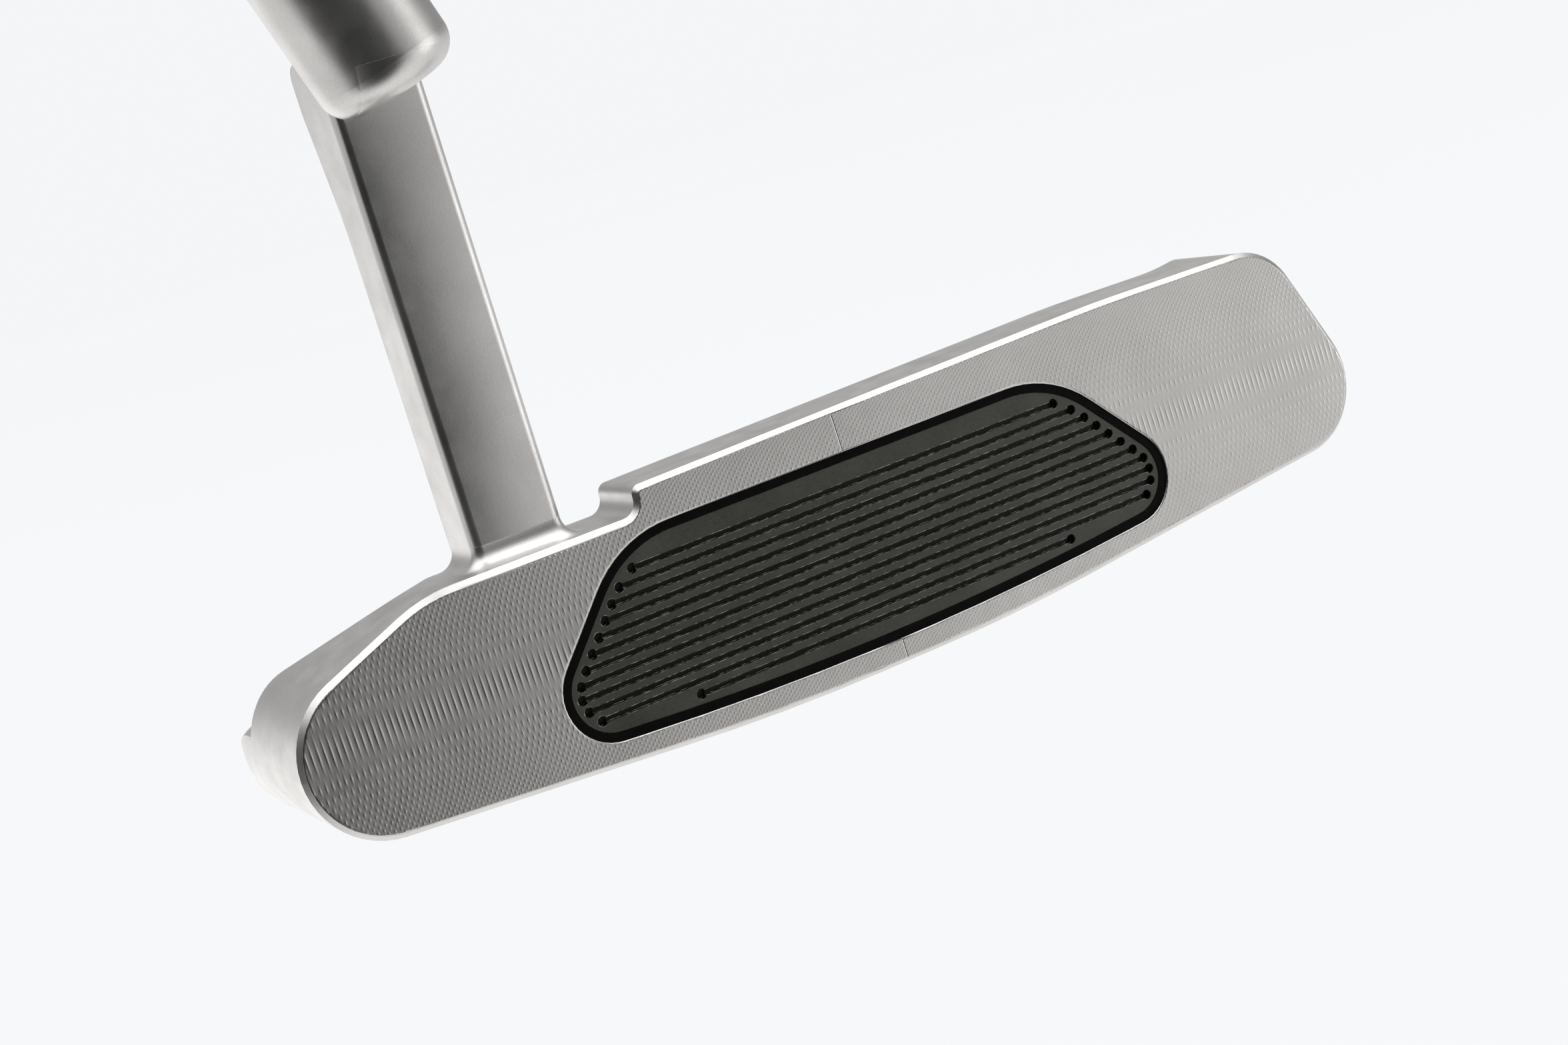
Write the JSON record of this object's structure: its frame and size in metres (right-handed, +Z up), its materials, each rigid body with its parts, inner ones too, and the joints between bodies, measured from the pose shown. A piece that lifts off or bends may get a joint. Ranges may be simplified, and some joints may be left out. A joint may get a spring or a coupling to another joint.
{
  "type": "blade putter",
  "caption": "Golf putter with a milled blade head, a plumber's neck, a grooved face insert in a dark bed, a stepped shaft and a flat-fronted grip.",
  "frame": {"origin": "on the ground at the leading edge, under the middle of the face, with the club standing at its lie angle", "axes": "+Z up from the ground, +X along the blade towards the toe, -Y towards the target, out of the face"},
  "size_m": [0.348, 0.0379, 0.8255],
  "materials": {
    "head_steel": "satin bead-blasted stainless steel with a milled face",
    "bond_film": "clear double-sided bonding film",
    "insert_bed": "black elastomer",
    "insert_metal": "dark grey anodised aluminium with milled grooves",
    "paint": "white paint fill",
    "weight_steel": "turned stainless steel",
    "epoxy": "cured epoxy",
    "plug_foam": "soft foam",
    "shaft_chrome": "chrome plated steel",
    "band_vinyl": "plain dark vinyl",
    "tape": "masking tape",
    "grip_foam": "closed-cell foam",
    "grip_skin": "embossed black polyurethane",
    "grip_rubber": "moulded black rubber"
  },
  "bodies": {
    "root": {"putter_head": "head_steel", "insert_bond_film": "bond_film", "insert_bed": "insert_bed", "face_insert": "insert_metal", "sight_line_paint": "paint", "sole_weight_heel": "weight_steel", "sole_weight_toe": "weight_steel", "hosel_epoxy": "epoxy", "shaft_tip_plug": "plug_foam", "shaft": "shaft_chrome", "shaft_band": "band_vinyl", "grip_tape": "tape", "grip_core": "grip_foam", "grip_skin": "grip_skin", "grip_collar": "grip_rubber", "grip_end_cap": "grip_rubber"}
  },
  "joints": []
}
